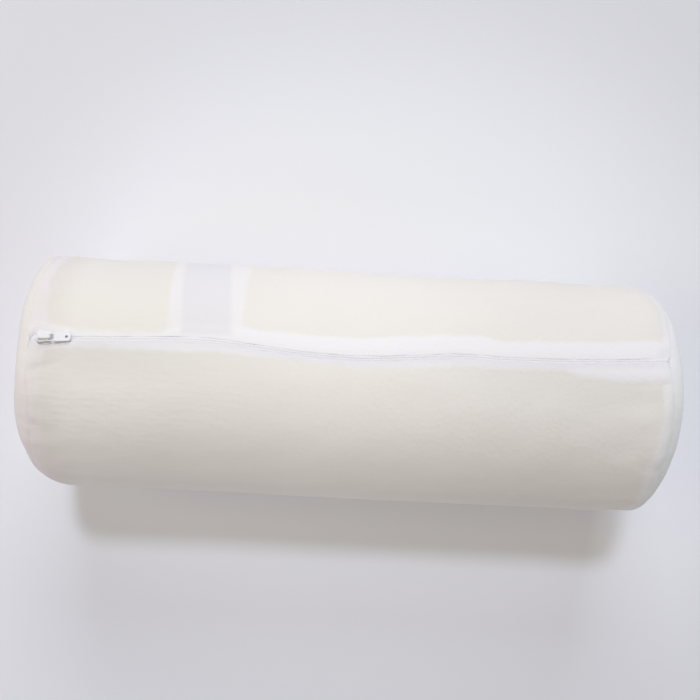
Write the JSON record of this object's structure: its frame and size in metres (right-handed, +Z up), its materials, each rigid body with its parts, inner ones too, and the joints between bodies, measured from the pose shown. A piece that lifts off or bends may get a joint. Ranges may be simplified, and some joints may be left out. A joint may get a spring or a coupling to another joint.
{
  "type": "neck roll pillow",
  "caption": "Round foam-filled neck roll in a thin knit cover, with a sewn disc on each end and a lengthwise coil zip near the top.",
  "frame": {"origin": "middle of the flat spot that the roll rests on", "axes": "+X along the roll, with the slider near the -X end; +Y to the back, the side that the zip lies on; +Z up"},
  "size_m": [0.405, 0.15, 0.1488],
  "materials": {
    "cover_cloth": "matte fine knit, cream foam showing through white cloth",
    "zip_tape": "matte white woven tape",
    "zip_coil": "satin white nylon coil",
    "zip_metal": "satin white enamel"
  },
  "bodies": {
    "root": {"roll": "cover_cloth", "end_panel_left": "cover_cloth", "end_panel_right": "cover_cloth", "zip_tape_back": "zip_tape", "zip_tape_front": "zip_tape", "zip_coil_back": "zip_coil", "zip_coil_front": "zip_coil", "zip_slider": "zip_metal", "zip_pull": "zip_metal"}
  },
  "joints": []
}
